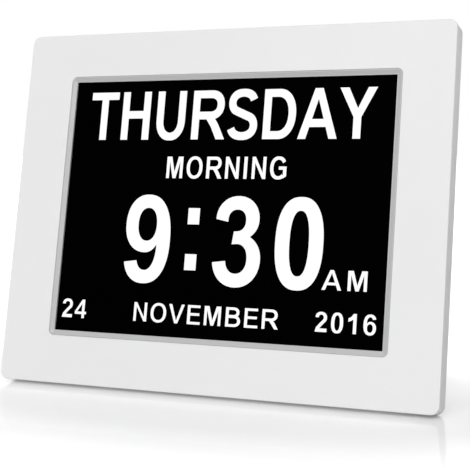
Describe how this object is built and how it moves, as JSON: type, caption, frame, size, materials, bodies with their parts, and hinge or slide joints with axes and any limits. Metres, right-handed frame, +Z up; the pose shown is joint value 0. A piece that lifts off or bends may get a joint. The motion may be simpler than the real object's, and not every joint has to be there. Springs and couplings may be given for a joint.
{
  "type": "digital day clock",
  "caption": "Free-standing digital day clock: thin white case, dark screen in a silver trim, keys on the back and a fold-out stand leg.",
  "frame": {"origin": "on the table, under the middle of the clock's box as it stands with its leg open", "axes": "+Z up, -Y out of the screen, +X to the right of someone who looks at the screen"},
  "size_m": [0.2152, 0.0646, 0.1693],
  "materials": {
    "case_white": "moulded, fine satin grain",
    "trim_silver": "silver paint, satin",
    "display_glass": "dark panel, anti-glare",
    "sheet_steel": "plated sheet",
    "optical_film": "matt film",
    "acrylic": "clear plate",
    "circuit_board": "green solder mask",
    "light_strip": "white strip with yellow emitters",
    "chip_black": "moulded epoxy",
    "ferrite": "sintered, dark grey",
    "can_aluminium": "drawn can",
    "bright_steel": "nickel plated",
    "screw_steel": "zinc plated",
    "socket_black": "moulded nylon",
    "key_plastic": "moulded, satin",
    "stem_plastic": "moulded",
    "foot_rubber": "soft black rubber",
    "speaker_steel": "pressed steel",
    "speaker_paper": "coated paper",
    "flat_cable": "polyester film",
    "lead_insulation": "insulation"
  },
  "bodies": {
    "case": {"front_bezel": "case_white", "rear_cover": "case_white", "screen_trim": "trim_silver", "lcd_glass": "display_glass", "lcd_frame": "sheet_steel", "lcd_back_plate": "sheet_steel", "lcd_clips": "sheet_steel", "diffuser_films": "optical_film", "light_guide": "acrylic", "main_board": "circuit_board", "key_board": "circuit_board", "backlight_leds": "light_strip", "processor_chip": "chip_black", "memory_chip": "chip_black", "flash_chip": "chip_black", "power_inductor": "ferrite", "speaker_magnet": "ferrite", "capacitors": "can_aluminium", "crystal": "bright_steel", "coin_cell": "bright_steel", "usb_socket": "bright_steel", "memory_card_slot": "bright_steel", "dc_jack_pin": "bright_steel", "case_screws": "screw_steel", "lcd_clip_screws": "screw_steel", "main_board_screws": "screw_steel", "key_board_screws": "screw_steel", "stand_hinge_pin": "screw_steel", "dc_jack": "socket_black", "usb_socket_tongue": "socket_black", "coin_cell_holder": "socket_black", "key_switches": "socket_black", "board_connectors": "socket_black", "speaker_frame": "speaker_steel", "speaker_cone": "speaker_paper", "lcd_flat_cable": "flat_cable", "key_cable": "flat_cable", "speaker_leads": "lead_insulation"},
    "stand": {"stand_leg": "case_white", "stand_foot_pad": "foot_rubber"},
    "power_key": {"power_key": "key_plastic", "power_switch_stem": "stem_plastic"},
    "menu_key": {"menu_key": "key_plastic", "menu_switch_stem": "stem_plastic"},
    "up_key": {"up_key": "key_plastic", "up_switch_stem": "stem_plastic"},
    "down_key": {"down_key": "key_plastic", "down_switch_stem": "stem_plastic"},
    "left_key": {"left_key": "key_plastic", "left_switch_stem": "stem_plastic"},
    "right_key": {"right_key": "key_plastic", "right_switch_stem": "stem_plastic"},
    "ok_key": {"ok_key": "key_plastic", "ok_switch_stem": "stem_plastic"}
  },
  "joints": [
    {"name": "stand_fold", "type": "hinge", "parent": "case", "child": "stand", "pos_m": [0, 0.00487, 0.09663], "axis": [1, 0, 0], "range_deg": [-25, 0]},
    {"name": "power_press", "type": "slide", "parent": "case", "child": "power_key", "axis": [0, -0.9816, 0.1908], "range_m": [0, 0.0006], "stiffness_N_per_m": 800},
    {"name": "menu_press", "type": "slide", "parent": "case", "child": "menu_key", "axis": [0, -0.9816, 0.1908], "range_m": [0, 0.0006], "stiffness_N_per_m": 800},
    {"name": "up_press", "type": "slide", "parent": "case", "child": "up_key", "axis": [0, -0.9816, 0.1908], "range_m": [0, 0.0006], "stiffness_N_per_m": 800},
    {"name": "down_press", "type": "slide", "parent": "case", "child": "down_key", "axis": [0, -0.9816, 0.1908], "range_m": [0, 0.0006], "stiffness_N_per_m": 800},
    {"name": "left_press", "type": "slide", "parent": "case", "child": "left_key", "axis": [0, -0.9816, 0.1908], "range_m": [0, 0.0006], "stiffness_N_per_m": 800},
    {"name": "right_press", "type": "slide", "parent": "case", "child": "right_key", "axis": [0, -0.9816, 0.1908], "range_m": [0, 0.0006], "stiffness_N_per_m": 800},
    {"name": "ok_press", "type": "slide", "parent": "case", "child": "ok_key", "axis": [0, -0.9816, 0.1908], "range_m": [0, 0.0006], "stiffness_N_per_m": 800}
  ]
}
